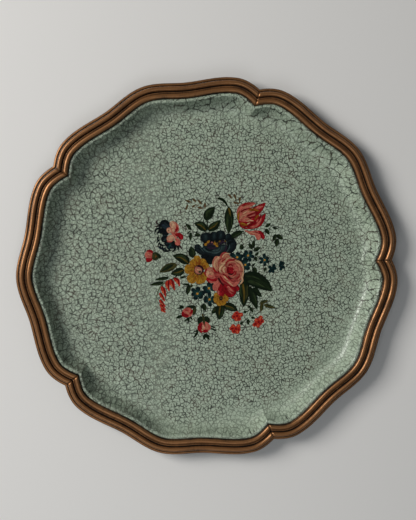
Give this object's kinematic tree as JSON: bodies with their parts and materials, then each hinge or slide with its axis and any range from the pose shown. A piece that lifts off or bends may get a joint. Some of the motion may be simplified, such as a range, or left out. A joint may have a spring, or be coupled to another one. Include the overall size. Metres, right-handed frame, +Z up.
{
  "type": "lobed painted tray",
  "caption": "Round lobed serving tray: pressed steel pan in pale green crackled lacquer with a hand-painted bouquet, a wired edge, and a mitred copper-gilt reeded rim.",
  "frame": {"origin": "centre of the flat underside of the pan's floor, on the surface that the tray stands on", "axes": "+Z up, out of the dish; +X through one notch of the outline; +Y towards the top of the bouquet"},
  "size_m": [0.3981, 0.3946, 0.022],
  "materials": {
    "celadon_lacquer": "grey-green lacquer with fine brown crackle, satin gloss, over sheet steel; the bouquet is painted on it",
    "copper_gilt": "copper-gold gilding rubbed back on the ridges, dark brown in the grooves",
    "drawn_wire": "plain drawn steel wire, hidden in the curled edge"
  },
  "bodies": {
    "root": {"tray_pan": "celadon_lacquer", "edge_wire": "drawn_wire", "rim_moulding_1": "copper_gilt", "rim_moulding_2": "copper_gilt", "rim_moulding_3": "copper_gilt", "rim_moulding_4": "copper_gilt", "rim_moulding_5": "copper_gilt"}
  },
  "joints": []
}
